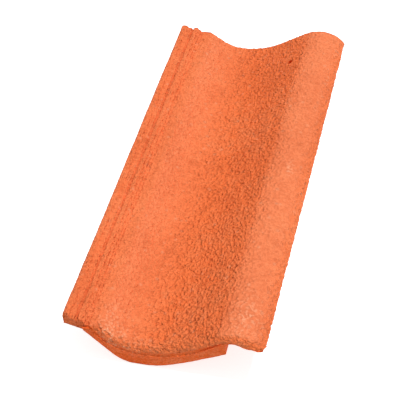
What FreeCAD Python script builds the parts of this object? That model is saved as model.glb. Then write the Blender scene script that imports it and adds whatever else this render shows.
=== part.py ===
import FreeCAD, Part
import math
import os
import Sketcher

# Half roof tile: one cast piece of concrete. X runs across the tile from the underlap to the roll,
# Y runs up the tile from the nose to the head, and Z is up. The tile stands on its two hanging nibs and
# on the weather bar under its nose. Every section is drawn with x counted from the outer edge of the
# underlap and z counted from the plane the tile stands on; the body is centred by its Placement.

SIZES = {
    # the whole tile
    "tile_length": 420.0,
    "tile_width": 180.0,
    "side_lap": 30.0,             # width that the next tile's roll covers
    "lap_clearance": 0.5,         # gap between an underlap and the roll that lies over it
    # pan and roll
    "pan_height": 27.0,           # lowest line of the pan's top face above the standing plane
    "pan_from_edge": 69.0,        # that line, counted from the outer edge of the underlap
    "shell_thickness": 12.0,
    "roll_rise": 32.2,            # crest of the roll above the lowest line of the pan
    "roll_radius": 35.0,          # roll's top face on the pan side of the crest
    "crest_past_cover": 4.8,      # crest line beyond the covering width
    "roll_edge_height": 0.8,      # outer edge of the roll above its foot
    "foot_bevel": 2.0,
    "right_fullness": 0.97,       # roundness of the S between pan and roll: 1 leaves no straight flank
    "left_fullness": 0.85,        # the same between the pan and the underlap
    # underlap, with heights above its channel
    "channel_rise": 16.8,         # channel above the lowest line of the pan
    "channel_end": 33.0,
    "shoulder_radius": 4.0,
    "underlap_thickness": 8.4,    # under the channel
    "underlap_inner_edge": 29.0,
    "edge_height": 3.2,
    "edge_bevel": 2.5,
    "outer_rib_end": 6.6,
    "outer_rib_height": 5.8,
    "rib_slope": 1.8,             # run of a rib's sloping side
    "ledge_width": 3.4,
    "ledge_height": 3.4,
    "groove_wall": 0.7,           # run of a groove's wall
    "groove_floor": 1.6,
    "outer_groove_height": 1.6,
    "inner_rib_width": 3.8,
    "inner_rib_height": 4.2,
    "step_width": 1.4,
    "step_height": 1.6,
    "inner_groove_depth": 0.6,
    # nose
    "nose_radius": 8.0,
    "corner_cut": 7.0,            # how far the underlap's front corner is cut back
    # weather bar under the nose
    "bar_setback": 1.5,
    "bar_length": 16.0,
    "bar_start": 19.5,            # counted from the outer edge of the underlap
    "bar_flat_start": 50.5,
    "bar_flat_end": 81.0,
    "bar_knee": 112.0,            # where its underside turns steeper, as the flank above it does
    "bar_knee_height": 12.5,
    "bar_end_gap": 4.5,           # bar stops this far short of the covering width
    "bar_end_drop": 26.6,         # bar's underside below the crest of the roll at its end
    # hanging nibs
    "nib_width": 20.0,
    "nib_length": 15.0,           # where it leaves the tile
    "nib_tip_length": 10.0,
    "nib_from_head": 26.0,        # bearing face of the nibs below the head
    "nib_outset": 18.0,           # first nib's outer side before the lowest line of the pan
    "nib_pitch": 40.0,
    "nib_bite": 2.0,              # how far a nib's outer side runs into the shell
    # nail hole
    "nail_hole_radius": 2.5,
    "nail_from_head": 44.0,
    "nail_from_edge": 129.0,
}


class Size:
    """A length worked out from the sheet: its number now, and the expression that keeps it."""

    def __init__(self, number, text):
        self.number = number
        self.text = text

    def joined(self, sign, other, number):
        return Size(number, f"({self.text} {sign} {other.text})")

    def __add__(self, other):
        return self.joined("+", other, self.number + other.number)

    def __sub__(self, other):
        return self.joined("-", other, self.number - other.number)

    def __mul__(self, other):
        return self.joined("*", other, self.number * other.number)

    def __truediv__(self, other):
        return self.joined("/", other, self.number / other.number)

    def root(self):
        return Size(math.sqrt(self.number), f"sqrt({self.text})")


NOTHING = Size(0.0, "0")
TWO = Size(2.0, "2")
MARGIN = Size(5.0, "5")           # how far a cutting shape runs past the face it opens
START, END = 1, 2                 # the ends of a sketch edge

doc = FreeCAD.newDocument("half_tile")
sheet = doc.addObject("Spreadsheet::Sheet", "sizes")
for row, (name, value) in enumerate(SIZES.items(), start=1):
    sheet.set(f"A{row}", name)
    sheet.set(f"B{row}", str(value))
    sheet.setAlias(f"B{row}", name)
doc.recompute()


def size(name):
    return Size(float(sheet.get(name)), f"sizes.{name}")


# ---- places worked out from the sizes ----
width = size("tile_width")
cover = width - size("side_lap")
clearance = size("lap_clearance")
pan_x = size("pan_from_edge")
pan_top = size("pan_height")
crest_x = cover + size("crest_past_cover")
crest_top = pan_top + size("roll_rise")
channel = pan_top + size("channel_rise")
channel_end = size("channel_end")
crown = channel + size("outer_rib_height") + clearance
underlap_base = channel - size("underlap_thickness")
foot = channel + clearance
roll_edge = foot + size("roll_edge_height")
shell = size("shell_thickness")
roll_shell = crest_top - crown


def radii_sum(run, rise, excess):
    """The two radii of an S curve together, when they meet with no straight flank between them.
    On the underside both radii change, by excess in all, and the S has to fit there too."""
    return (run * run + rise * rise - excess * excess) / (TWO * (rise + excess))


right_radius = (
    radii_sum(crest_x - pan_x, size("roll_rise"), shell - roll_shell) * size("right_fullness")
    - size("roll_radius")
)
left_radius = (
    radii_sum(pan_x - channel_end, size("channel_rise"), NOTHING) * size("left_fullness")
    - size("shoulder_radius")
)


def flank_angle(run, centre_drop, radius_total):
    """Slope of the straight flank that touches the lower and the upper arc of an S curve."""
    return math.atan2(run, centre_drop) - math.acos(radius_total / math.hypot(run, centre_drop))


class Outline:
    """A sketch whose points and radii are bound to the sheet."""

    def __init__(self, body, name, plane):
        self.sketch = body.newObject("Sketcher::SketchObject", name)
        self.sketch.AttachmentSupport = (plane, [""])
        self.sketch.MapMode = "FlatFace"

    def offset(self, distance):
        """Stand the sketch off its plane, along the plane's normal."""
        self.sketch.setExpression("AttachmentOffset.Base.z", distance.text)

    def bind(self, kind, place, value):
        number = self.sketch.addConstraint(Sketcher.Constraint(kind, *place, value.number))
        self.sketch.setExpression(f"Constraints[{number}]", value.text)

    def pin(self, edge, end, x, z):
        """Hold one end of an edge at two coordinates of the sketch."""
        self.bind("DistanceX", (-1, 1, edge, end), x)
        self.bind("DistanceY", (-1, 1, edge, end), z)

    def join(self, first, first_end, second, second_end, kind="Coincident"):
        self.sketch.addConstraint(Sketcher.Constraint(kind, first, first_end, second, second_end))

    def line(self, start, end):
        """A line between two (x, z) pairs of numbers."""
        points = [FreeCAD.Vector(*point, 0.0) for point in (start, end)]
        return self.sketch.addGeometry(Part.LineSegment(*points), False)

    def arc(self, centre, radius, low, high):
        """An arc round centre from the angle low to the angle high, in degrees."""
        circle = Part.Circle(FreeCAD.Vector(*centre, 0.0), FreeCAD.Vector(0, 0, 1), radius)
        return self.sketch.addGeometry(
            Part.ArcOfCircle(circle, math.radians(low), math.radians(high)), False
        )

    def circle(self, x, y, radius):
        centre = FreeCAD.Vector(x.number, y.number, 0.0)
        edge = self.sketch.addGeometry(
            Part.Circle(centre, FreeCAD.Vector(0, 0, 1), radius.number), False
        )
        self.pin(edge, 3, x, y)
        self.bind("Radius", (edge,), radius)
        return edge

    def bound_arc(self, x, z, radius, low, high):
        """An arc whose centre stands on the line x; z places it now, and its joints keep it there."""
        edge = self.arc((x.number, z), radius.number, low, high)
        self.bind("DistanceX", (-1, 1, edge, 3), x)
        self.bind("Radius", (edge,), radius)
        return edge

    def chain(self, points):
        """Lines through a list of (x, z) pairs of sizes, every point bound. Returns the edges."""
        edges = []
        for start, end in zip(points, points[1:]):
            edge = self.line((start[0].number, start[1].number), (end[0].number, end[1].number))
            if edges:
                self.join(edges[-1], 2, edge, 1)
            edges.append(edge)
            self.pin(edge, 1, *start)
        self.pin(edges[-1], 2, *points[-1])
        return edges


def wave(outline, pan_depth, roll_depth, left_end):
    """The pan and the near side of the roll, at a depth below the top face: a left flank from
    left_end, two arcs that meet on the pan's lowest line, a right flank and the roll's arc up to the
    crest line. left_end is a pair of sizes, or None for a flank that rises from the shoulder.
    Returns the edges from left to right."""
    lower_left = left_radius + pan_depth
    lower_right = right_radius + pan_depth
    upper = size("roll_radius") - roll_depth
    low_z = (pan_top - pan_depth).number
    crest_z = (crest_top - roll_depth).number
    left_z = low_z + lower_left.number
    right_z = low_z + lower_right.number
    roll_z = crest_z - upper.number

    right = flank_angle(
        (crest_x - pan_x).number, right_z - roll_z, lower_right.number + upper.number
    )
    if left_end is None:
        shoulder = size("shoulder_radius")
        left = flank_angle(
            (pan_x - channel_end).number,
            left_z - (channel - shoulder).number,
            lower_left.number + shoulder.number,
        )
        left_point = (
            channel_end.number + shoulder.number * math.sin(left),
            (channel - shoulder).number + shoulder.number * math.cos(left),
        )
    else:
        left_point = (left_end[0].number, left_end[1].number)
        left = flank_angle(
            pan_x.number - left_point[0], left_z - left_point[1], lower_left.number
        )

    def on_arc(centre_x, centre_z, radius, angle):
        return (centre_x + radius * math.sin(angle), centre_z - radius * math.cos(angle))

    left_foot = on_arc(pan_x.number, left_z, lower_left.number, -left)
    right_foot = on_arc(pan_x.number, right_z, lower_right.number, right)
    roll_foot = on_arc(crest_x.number, roll_z, -upper.number, right)

    left_flank = outline.line(left_point, left_foot)
    left_arc = outline.bound_arc(pan_x, left_z, lower_left, 270.0 - math.degrees(left), 270.0)
    right_arc = outline.bound_arc(pan_x, right_z, lower_right, 270.0, 270.0 + math.degrees(right))
    right_flank = outline.line(right_foot, roll_foot)
    roll_arc = outline.bound_arc(crest_x, roll_z, upper, 90.0, 90.0 + math.degrees(right))

    outline.join(left_flank, END, left_arc, START, "Tangent")
    outline.pin(left_arc, END, pan_x, pan_top - pan_depth)
    outline.join(left_arc, END, right_arc, START)
    outline.join(right_arc, END, right_flank, START, "Tangent")
    outline.join(right_flank, END, roll_arc, END, "Tangent")
    outline.pin(roll_arc, START, crest_x, crest_top - roll_depth)
    if left_end is not None:
        outline.pin(left_flank, START, *left_end)
    return left_flank, left_arc, right_arc, right_flank, roll_arc


def shoulder_arc(outline, left_flank):
    """The rounded shoulder from the channel into the pan's left flank."""
    radius = size("shoulder_radius")
    start = outline.sketch.Geometry[left_flank].StartPoint
    centre_z = (channel - radius).number
    low = math.degrees(math.atan2(start.y - centre_z, start.x - channel_end.number))
    edge = outline.bound_arc(channel_end, centre_z, radius, low, 90.0)
    outline.join(edge, START, left_flank, START, "Tangent")
    return edge


def roll_outer_arc(outline, roll_arc):
    """The roll's top face from the crest to its outer edge."""
    run = (width - crest_x).number
    drop = (crest_top - roll_edge).number
    radius = (run * run + drop * drop) / (2.0 * drop)
    low = math.degrees(math.asin((radius - drop) / radius))
    edge = outline.arc((crest_x.number, crest_top.number - radius), radius, low, 90.0)
    outline.bind("DistanceX", (-1, 1, edge, 3), crest_x)
    outline.join(edge, END, roll_arc, START)
    outline.pin(edge, START, width, roll_edge)
    return edge


def extend(outline, edge, end, x):
    """Carry an edge on in a straight line from one of its ends, as far as the line x."""
    geometry = outline.sketch.Geometry[edge]
    point = geometry.StartPoint if end == START else geometry.EndPoint
    if isinstance(geometry, Part.LineSegment):
        along = geometry.EndPoint - geometry.StartPoint
        slope = along.y / along.x
    else:
        spoke = point - geometry.Center
        slope = -spoke.x / spoke.y
    far = (x.number, point.y + (x.number - point.x) * slope)
    line = outline.line((point.x, point.y), far)
    outline.join(edge, end, line, START, "Tangent")
    outline.bind("DistanceX", (-1, 1, line, END), x)
    return line


def underlap_line():
    """Top line of the underlap as (x, height above the channel), from its outer rib to the channel."""
    slope = size("rib_slope")
    wall = size("groove_wall")
    floor = size("groove_floor")
    steps = (
        (slope, size("ledge_height")),
        (size("ledge_width"), size("ledge_height")),
        (wall, size("outer_groove_height")),
        (floor, size("outer_groove_height")),
        (wall, size("inner_rib_height")),
        (size("inner_rib_width"), size("inner_rib_height")),
        (slope, size("step_height")),
        (size("step_width"), size("step_height")),
        (wall, NOTHING - size("inner_groove_depth")),
        (floor, NOTHING - size("inner_groove_depth")),
        (wall, NOTHING),
    )
    x = size("outer_rib_end")
    line = [(x, size("outer_rib_height"))]
    for run, height in steps:
        x = x + run
        line.append((x, height))
    return line


# ---- the tile's body ----
body = doc.addObject("PartDesign::Body", "half_tile")
body.Label = "half_tile"
planes = {feature.Role: feature for feature in body.Origin.OriginFeatures}


def pad(name, outline, length, kind="Pad", reverse=True):
    """A Pad or a Pocket of a sketch, for a length."""
    feature = body.newObject(f"PartDesign::{kind}", name)
    feature.Profile = outline.sketch
    feature.setExpression("Length", length.text)
    feature.Reversed = reverse
    outline.sketch.Visibility = False
    return feature


# Full section of the tile, run from the nose to the head.
section = Outline(body, "section", planes["XZ_Plane"])
top_wave = wave(section, NOTHING, NOTHING, None)
shoulder = shoulder_arc(section, top_wave[0])
roll_outer_arc(section, top_wave[4])
inner_edge = (size("underlap_inner_edge"), underlap_base)
wave(section, shell, roll_shell, inner_edge)
underlap = section.chain(
    [
        inner_edge,
        (NOTHING, underlap_base),
        (NOTHING, channel + size("edge_height")),
        (size("edge_bevel"), channel + size("outer_rib_height")),
    ]
    + [(x, channel + height) for x, height in underlap_line()]
    + [(channel_end, channel)]
)
section.join(underlap[-1], END, shoulder, END)
section.chain(
    [(width, roll_edge), (width - size("foot_bevel"), foot)]
    + [(cover + x, foot + height) for x, height in reversed(underlap_line())]
    + [(crest_x, crown)]
)
pad("tile_section", section, size("tile_length"))

# Weather bar: a rib under the nose, from the underlap to just short of the roll's hollow.
bar = Outline(body, "weather_bar_section", planes["XZ_Plane"])
bar.offset(NOTHING - size("bar_setback"))
bar_end = cover - size("bar_end_gap")
bar_root = underlap_base + size("underlap_thickness") / TWO
bar_wave = wave(bar, shell / TWO, roll_shell / TWO, (channel_end, bar_root))
bar.sketch.setConstruction(bar_wave[4], True)
bar_crown = extend(bar, bar_wave[3], END, bar_end)
bar_foot = bar.chain(
    [
        (channel_end, bar_root),
        (size("bar_start"), bar_root),
        (size("bar_start"), underlap_base),
        (size("bar_flat_start"), NOTHING),
        (size("bar_flat_end"), NOTHING),
        (size("bar_knee"), size("bar_knee_height")),
        (bar_end, crest_top - size("bar_end_drop")),
    ]
)
far_end = bar.sketch.Geometry[bar_crown].EndPoint
bar_side = bar.line((bar_end.number, (crest_top - size("bar_end_drop")).number), (far_end.x, far_end.y))
bar.join(bar_foot[-1], END, bar_side, START)
bar.join(bar_side, END, bar_crown, END)
pad("weather_bar", bar, size("bar_length"))

# Hanging nibs: two blocks under the head, square on the side that bears on the batten.
bearing_y = size("tile_length") - size("nib_from_head")


def nib(name, near_x, far_x, arc_radius, outer_x):
    """One nib from near_x to far_x, as high as the shell's underside at its outer side and a bite."""
    reach = outer_x - pan_x
    under = arc_radius + shell
    root = pan_top + arc_radius - (under * under - reach * reach).root() + size("nib_bite")
    outline = Outline(body, f"{name}_side", planes["YZ_Plane"])
    outline.offset(near_x)
    side = [
        (bearing_y, root),
        (bearing_y, NOTHING),
        (bearing_y + size("nib_tip_length"), NOTHING),
        (bearing_y + size("nib_length"), root),
    ]
    outline.chain(side + side[:1])
    pad(name, outline, far_x - near_x, reverse=False)


left_nib = pan_x - size("nib_outset")
right_nib = left_nib + size("nib_pitch")
nib("left_nib", left_nib, left_nib + size("nib_width"), left_radius, left_nib)
nib("right_nib", right_nib, right_nib + size("nib_width"), right_radius, right_nib + size("nib_width"))

# Nose: the front edge of the top face rounded over, by a cutter swept along the pan and the roll.
rounding = Outline(body, "nose_rounding", planes["YZ_Plane"])
rounding.offset(pan_x)
nose = size("nose_radius")
face = pan_top - nose
quarter = rounding.arc((nose.number, face.number), nose.number, 90.0, 180.0)
rounding.bind("Radius", (quarter,), nose)
corner = rounding.chain(
    [
        (NOTHING, face),
        (NOTHING - MARGIN, face),
        (NOTHING - MARGIN, pan_top + MARGIN),
        (nose, pan_top + MARGIN),
        (nose, pan_top),
    ]
)
rounding.join(quarter, END, corner[0], START)
rounding.join(quarter, START, corner[-1], END)
rounding.sketch.Visibility = False


def nose_cut(name, path, edges):
    path.sketch.Visibility = False
    cut = body.newObject("PartDesign::SubtractivePipe", name)
    cut.Profile = rounding.sketch
    cut.Spine = (path.sketch, edges)
    return cut


nose_line = Outline(body, "nose_line", planes["XZ_Plane"])
nose_wave = wave(nose_line, NOTHING, NOTHING, None)
nose_shoulder = shoulder_arc(nose_line, nose_wave[0])
nose_line.pin(nose_shoulder, END, channel_end, channel)
nose_line.sketch.setConstruction(nose_shoulder, True)
nose_outer = roll_outer_arc(nose_line, nose_wave[4])
extend(nose_line, nose_wave[0], START, NOTHING)
extend(nose_line, nose_outer, START, width + MARGIN)
nose_cut("nose_left", nose_line, ["Edge3", "Edge2", "Edge1"])
nose_cut("nose_right", nose_line, ["Edge4", "Edge5", "Edge6", "Edge7", "Edge8"])

# The underlap's front corner, cut back on the slant.
corner_cut = Outline(body, "corner_cut_outline", planes["XY_Plane"])
corner_points = [
    (channel_end, NOTHING),
    (NOTHING, size("corner_cut")),
    (NOTHING - MARGIN, size("corner_cut")),
    (NOTHING - MARGIN, NOTHING - MARGIN),
    (channel_end, NOTHING - MARGIN),
]
corner_cut.chain(corner_points + corner_points[:1])
pad("corner_cut", corner_cut, crest_top, kind="Pocket")

# Nail hole, straight down through the pan's right flank under the head.
nail = Outline(body, "nail_outline", planes["XY_Plane"])
nail_y = size("tile_length") - size("nail_from_head")
nail_circle = nail.circle(size("nail_from_edge"), nail_y, size("nail_hole_radius"))
pad("nail_hole", nail, crest_top, kind="Pocket")

body.setExpression("Placement.Base.x", (NOTHING - width / TWO).text)
body.setExpression("Placement.Base.y", (NOTHING - size("tile_length") / TWO).text)
doc.recompute()

# ---- check every object, then write the tile ----
for made in doc.Objects:
    if "Invalid" in made.State or "Error" in made.State:
        raise RuntimeError(f"{made.Name} did not build: {made.State}")
if body.Shape.isNull() or not body.Shape.isValid() or len(body.Shape.Solids) != 1:
    raise RuntimeError("half_tile is not one sound solid")

os.makedirs("parts", exist_ok=True)
body.Shape.exportStep(f"parts/{body.Label}.step")
print(f"{body.Label}: {body.Shape.Volume / 1000.0:.1f} cm3")
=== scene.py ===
"""Half roof tile of coloured concrete: the cast shell with its granular weather face, the weather bar
under its nose and the two hanging nibs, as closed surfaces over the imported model."""

import math

import bpy
import numpy as np
from bpy.props import FloatProperty, FloatVectorProperty, IntProperty, PointerProperty
from mathutils import Matrix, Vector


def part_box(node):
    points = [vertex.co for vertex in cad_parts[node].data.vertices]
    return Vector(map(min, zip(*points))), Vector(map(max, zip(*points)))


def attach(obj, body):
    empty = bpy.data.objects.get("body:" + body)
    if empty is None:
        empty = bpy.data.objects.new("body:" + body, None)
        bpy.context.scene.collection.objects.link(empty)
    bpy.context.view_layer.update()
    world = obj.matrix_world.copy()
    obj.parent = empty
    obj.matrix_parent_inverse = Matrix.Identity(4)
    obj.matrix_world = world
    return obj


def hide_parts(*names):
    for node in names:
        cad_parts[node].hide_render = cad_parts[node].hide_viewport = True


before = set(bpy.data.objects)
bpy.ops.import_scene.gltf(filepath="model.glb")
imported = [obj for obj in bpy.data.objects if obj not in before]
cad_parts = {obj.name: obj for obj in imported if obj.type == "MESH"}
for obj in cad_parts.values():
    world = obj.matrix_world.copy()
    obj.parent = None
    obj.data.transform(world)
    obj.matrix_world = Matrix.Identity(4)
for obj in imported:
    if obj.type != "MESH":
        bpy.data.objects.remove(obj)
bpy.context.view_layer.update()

bl_info = {
    "name": "Half Roof Tile",
    "version": (1, 0, 0),
    "blender": (4, 5, 0),
    "location": "View3D > Sidebar > Roof Tile",
    "description": "Builds a half roof tile of coloured concrete and the stage it lies on",
    "category": "Object",
}

LOW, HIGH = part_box("half_tile")
NODE = "half_tile"

# Top line of the underlap from the end of its outer rib: how far each piece runs on, and the height
# above the channel that it reaches.
UNDERLAP_STEPS = (
    (0.0018, 0.0034),
    (0.0034, 0.0034),
    (0.0007, 0.0016),
    (0.0016, 0.0016),
    (0.0007, 0.0042),
    (0.0038, 0.0042),
    (0.0018, 0.0016),
    (0.0014, 0.0016),
    (0.0007, -0.0006),
    (0.0016, -0.0006),
    (0.0007, 0.0),
)
OUTER_RIB_END = 0.0066
OUTER_RIB_HEIGHT = 0.0058
EDGE_HEIGHT = 0.0032          # underlap's outer edge above the channel
EDGE_BEVEL = 0.0025           # run of the slope from that edge up to the outer rib

# The shell's mesh. Steps and widths are in metres.
PATH_STEP = 0.00005           # between points of the top line
RIB_DENSITY = 1.55            # columns over the underlap, for one elsewhere
FACE_ROWS = 6                 # up the front face and the head's face
NOSE_ROWS = 12                # round the nose
NOSE_TRIES = 64               # depths tried for the nose's round on the roll's thin edge
NOSE_SPREAD = 0.0006          # keeps the nose's rows apart on that edge
THIN_FACE = 0.0007            # least face left under the nose's round
HEAD_ROWS = 4                 # round the head's edge
HEAD_EDGE = 0.0012            # width of the round along the head's edge
HEAD_DROP = 0.55 * HEAD_EDGE  # its depth
LAP_NOSE_DROP = 0.0016        # depth of the round along the underlap's front edge
LAP_NOSE_RUN = 0.0011         # its width
FOOT_INSET = 0.0007           # feet of the end faces inside the underlap's edge
ROLL_FOOT_INSET = 0.0005      # the same inside the roll's foot
UNDER_INSET = 0.0016          # underside inside the end faces
UNDER_LAP_INSET = 0.0022      # underside inside the underlap's edge
UNDER_ROLL_INSET = 0.0011     # underside inside the end faces' feet at the roll
HOLE_REACH = 7                # steps over which the nail hole draws the skin in
UNDER_HOLE_REACH = 5          # the same on the underside
LIP_SOFTNESS = 0.003          # half the width over which the closed grooves' line is softened
EDGE_SOFTNESS = 0.0006        # the same for the underlap's corners
SHARP_ANGLE = math.radians(62.0)
TINY = 1e-9

# Relief of the faces, with their painted sheen and painted shade: depths in metres, and grain from 0 in a
# hollow to 1 on a grain's top.
RELIEF_MARGIN = 0.002
SMOOTH_GRAIN = 0.8            # grain value of faces that lay in the mould
BAND_DEPTH = 0.0013           # set-back of the smooth band over the weather bar
UNDER_WAVINESS = 0.00022
SHADED_GROOVES = (             # middle, width and darkness of the painted shade along the underlap's grooves
    (0.0133, 0.0013, 0.9),
    (0.0233, 0.0016, 0.405),
)
PAINTED_SHEEN = (                    # place across the tile, and how much painted sheen the face gets there: a paler tone that stands in for the lamp's light on the slopes that face it
    (0.0, 0.35),
    (0.030, 0.50),
    (0.040, 0.90),
    (0.060, 0.50),
    (0.088, 0.02),
    (0.115, 0.0),
    (0.136, 0.06),
    (0.144, 0.70),
    (0.154, 0.94),
    (0.170, 0.88),
    (0.178, 0.30),
)
BAR_SOFTNESS = 0.009          # half the width over which the bar's knees are softened
BAR_GRAIN_SIZE = 0.0024
BAR_GRAIN_DEPTH = 0.00028
BAR_WAVINESS = 0.00050
NIB_ROUND = 0.0014            # round of a nib's tip
NIB_BITE = 0.0012             # how far a nib runs up past the middle of the shell
NIB_WAVINESS = 0.00035

# The finish's fixed colours and the stage.
DRIFT_PALE = (0.93, 0.30, 0.125)
DRIFT_DEEP = (0.58, 0.105, 0.030)
SAND_RELIEF = 0.0052          # height of the sand's bump
WHITE = (1.0, 1.0, 1.0, 1.0)
FLOOR_COLOUR = (0.80, 0.86, 0.87, 1.0)
FLOOR_GLOW = 0.75
FLOOR_HALF = 6.0
FLOOR_HEIGHT = -0.0002
KEY_FROM = (0.30, 0.02, 0.92)
KEY_SPREAD = math.radians(6.0)


def length_size(name, description, default):
    """A size in metres."""
    return FloatProperty(
        name=name, description=description, default=default, min=0.0, subtype="DISTANCE", unit="LENGTH"
    )


def share(name, description, default):
    """An amount from 0 to 1."""
    return FloatProperty(
        name=name, description=description, default=default, min=0.0, max=1.0, subtype="FACTOR"
    )


def colour(name, description, default):
    """A linear RGB colour."""
    return FloatVectorProperty(
        name=name, description=description, default=default, size=3, min=0.0, max=1.0, subtype="COLOR"
    )


class TileSizes(bpy.types.PropertyGroup):
    """Sizes of the half tile, in metres. X is counted from the outer edge of the underlap."""

    length: length_size("Length", "Nose to head", HIGH.y - LOW.y)
    width: length_size("Width", "Outer edge of the underlap to outer edge of the roll", HIGH.x - LOW.x)
    side_lap: length_size("Side lap", "Width that the next tile's roll covers", 0.030)
    lap_clearance: length_size("Lap clearance", "Gap between an underlap and the roll over it", 0.0005)
    pan_height: length_size("Pan height", "Lowest line of the pan above the floor", 0.027)
    pan_line: length_size("Pan line", "Lowest line of the pan from the underlap's edge", 0.069)
    shell: length_size("Shell thickness", "Thickness of the shell under the pan", 0.012)
    roll_rise: length_size("Roll rise", "Crest of the roll above the pan", 0.0322)
    roll_radius: length_size("Roll radius", "Top face of the roll on the pan's side", 0.035)
    crest_past_cover: length_size("Crest offset", "Crest line beyond the covering width", 0.0048)
    roll_edge_height: length_size("Roll edge", "Outer edge of the roll above its foot", 0.0008)
    foot_bevel: length_size("Foot bevel", "Bevel under the outer edge of the roll", 0.002)
    right_fullness: share("Right fullness", "Roundness between pan and roll", 0.97)
    left_fullness: share("Left fullness", "Roundness between pan and underlap", 0.85)
    channel_rise: length_size("Channel rise", "Underlap's channel above the pan", 0.0168)
    channel_end: length_size("Channel end", "Where the channel turns down into the pan", 0.033)
    shoulder_radius: length_size("Shoulder radius", "Round between channel and pan", 0.004)
    underlap_thickness: length_size("Underlap thickness", "Concrete under the channel", 0.0084)
    underlap_inner_edge: length_size("Underlap inner edge", "Where the underlap's underside ends", 0.029)
    nose_radius: length_size("Nose radius", "Round along the front edge of the top face", 0.008)
    corner_cut: length_size("Corner cut", "How far the underlap's front corner is cut back", 0.007)
    nail_radius: length_size("Nail hole radius", "Radius of the nail hole", 0.0025)
    nail_from_head: length_size("Nail from head", "Nail hole below the head", 0.044)
    nail_from_edge: length_size("Nail from edge", "Nail hole from the underlap's edge", 0.129)
    bar_setback: length_size("Bar setback", "Weather bar behind the front face", 0.0015)
    bar_length: length_size("Bar length", "Weather bar along the tile", 0.016)
    bar_start: length_size("Bar start", "Weather bar from the underlap's edge", 0.0195)
    bar_flat_start: length_size("Bar flat start", "Where the bar starts to stand on the floor", 0.0505)
    bar_flat_end: length_size("Bar flat end", "Where the bar leaves the floor", 0.081)
    bar_knee: length_size("Bar knee", "Where the bar's underside turns steeper", 0.112)
    bar_knee_height: length_size("Bar knee height", "Height of that turn above the floor", 0.0125)
    bar_end_gap: length_size("Bar end gap", "Bar stops this short of the covering width", 0.0045)
    bar_end_drop: length_size("Bar end drop", "Bar's underside below the roll's crest at its end", 0.0266)
    nib_width: length_size("Nib width", "Across the tile", 0.020)
    nib_length: length_size("Nib length", "Along the tile where the nib leaves it", 0.015)
    nib_tip_length: length_size("Nib tip length", "Along the tile at the nib's tip", 0.010)
    nib_from_head: length_size("Nib from head", "Bearing face of the nibs below the head", 0.026)
    nib_outset: length_size("Nib outset", "First nib's outer side before the pan's line", 0.018)
    nib_pitch: length_size("Nib pitch", "From one nib to the next", 0.040)
    mesh_step: length_size("Mesh step", "Spacing of the weather face's mesh", 0.00112)


class TileFinish(bpy.types.PropertyGroup):
    """Colours and relief of the concrete."""

    face_colour: colour("Face colour", "Coloured granular face", (1.0, 0.204, 0.056))
    # painted sheen: a paler copy of the face colour, mixed in where the slopes face the lamp
    sheen_colour: colour("Bleached colour", "Face where the weather paled it", (0.925, 0.247, 0.100))
    # the smooth cast faces' colour, made deeper and redder to paint the hue of shade on the front faces,
    # underside, bar and nibs
    cast_and_shade_colour: colour("Cast colour", "Smooth faces that lay in the mould", (0.97, 0.145, 0.020))
    # painted shade: the colour mixed into the grain hollows, the underlap's grooves and other shaded
    # places; also the colour of the random dark specks
    hollow_shade_colour: colour("Pit colour", "Hollows between the grains", (0.50, 0.074, 0.016))
    # pale grain tops: random pale specks and real wear, and a painted highlight near the nose
    pale_and_glint_colour: colour("Pale colour", "Rubbed grain tops", (1.0, 0.47, 0.27))
    grain_depth: length_size("Grain depth", "Depth of the granular relief", 0.0014)
    waviness: length_size("Waviness", "Slow unevenness of the faces", 0.00045)
    streaks: length_size("Streaks", "Depth of the drag lines along the tile", 0.00016)
    grain_size: length_size("Grain size", "Width of a grain", 0.0032)
    seed: IntProperty(name="Seed", description="Start of every random pattern", default=41, min=0)


class TileStage(bpy.types.PropertyGroup):
    """Camera, lamps and floor."""

    camera_place: FloatVectorProperty(
        name="Camera place", description="Where the camera stands", size=3,
        default=(0.2321, -0.7985, 0.8289), subtype="TRANSLATION", unit="LENGTH",
    )
    camera_tilt: FloatProperty(
        name="Camera tilt", description="From straight down", default=math.radians(45.22),
        subtype="ANGLE", unit="ROTATION",
    )
    camera_heading: FloatProperty(
        name="Camera heading", description="Turned from the tile's length", default=math.radians(17.56),
        subtype="ANGLE", unit="ROTATION",
    )
    camera_roll: FloatProperty(
        name="Camera roll", description="Turned about its own axis", default=math.radians(-5.26),
        subtype="ANGLE", unit="ROTATION",
    )
    lens: FloatProperty(name="Lens", description="Focal length in millimetres", default=107.1, min=1.0)
    key_strength: FloatProperty(name="Key strength", description="Soft lamp", default=2.37, min=0.0)
    fill_strength: FloatProperty(name="Fill strength", description="Light all round", default=0.44, min=0.0)


# ---- the tile's section ----

def touch_angle(run, drop, radii):
    """Slope of the line that touches a lower arc and an upper arc, in radians: the angle of the line
between their centres, less the angle whose cosine is the sum of the radii over its length."""
    return np.arctan2(run, drop) - np.arccos(radii / math.hypot(run, drop))


def radii_sum(run, rise, excess):
    """Both radii of an S curve together, when they meet with no straight between them:
    (run squared + rise squared - excess squared) / 2 (rise + excess)."""
    return (run * run + rise * rise - excess * excess) / (2.0 * (rise + excess))


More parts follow.
